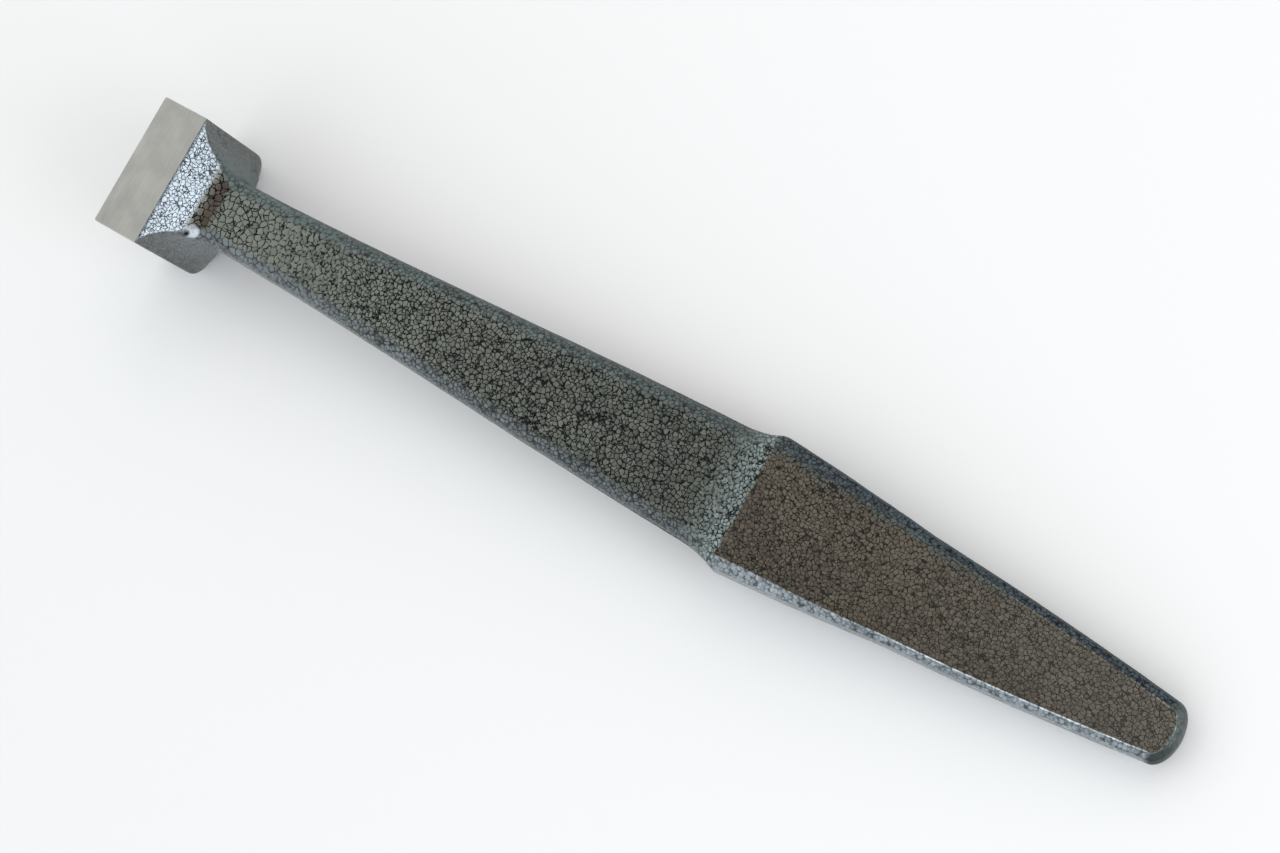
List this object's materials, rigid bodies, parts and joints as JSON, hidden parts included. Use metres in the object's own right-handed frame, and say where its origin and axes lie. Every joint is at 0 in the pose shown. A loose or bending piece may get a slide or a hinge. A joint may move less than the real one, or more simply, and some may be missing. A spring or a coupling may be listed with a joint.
{
  "type": "panel beating dolly",
  "caption": "Hand dolly for panel beating: a T-shaped anvil head with a ground face, a flat tapering grip, and a bevelled prying tang with a rounded nose.",
  "frame": {"origin": "centre of the working face", "axes": "+X along the tool from the head to the nose, +Y across it, +Z out of the working face"},
  "size_m": [0.32, 0.0396, 0.036],
  "materials": {
    "ground_steel": "ground across the tool, bare",
    "hammered_enamel": "hammered stoving enamel, dark green-grey, semi-gloss"
  },
  "bodies": {
    "root": {"working_face": "ground_steel", "anvil_head": "hammered_enamel", "upper_web": "hammered_enamel", "lower_web": "hammered_enamel", "grip": "hammered_enamel", "shoulder": "hammered_enamel", "pry_tang": "hammered_enamel", "nose": "hammered_enamel"}
  },
  "joints": []
}
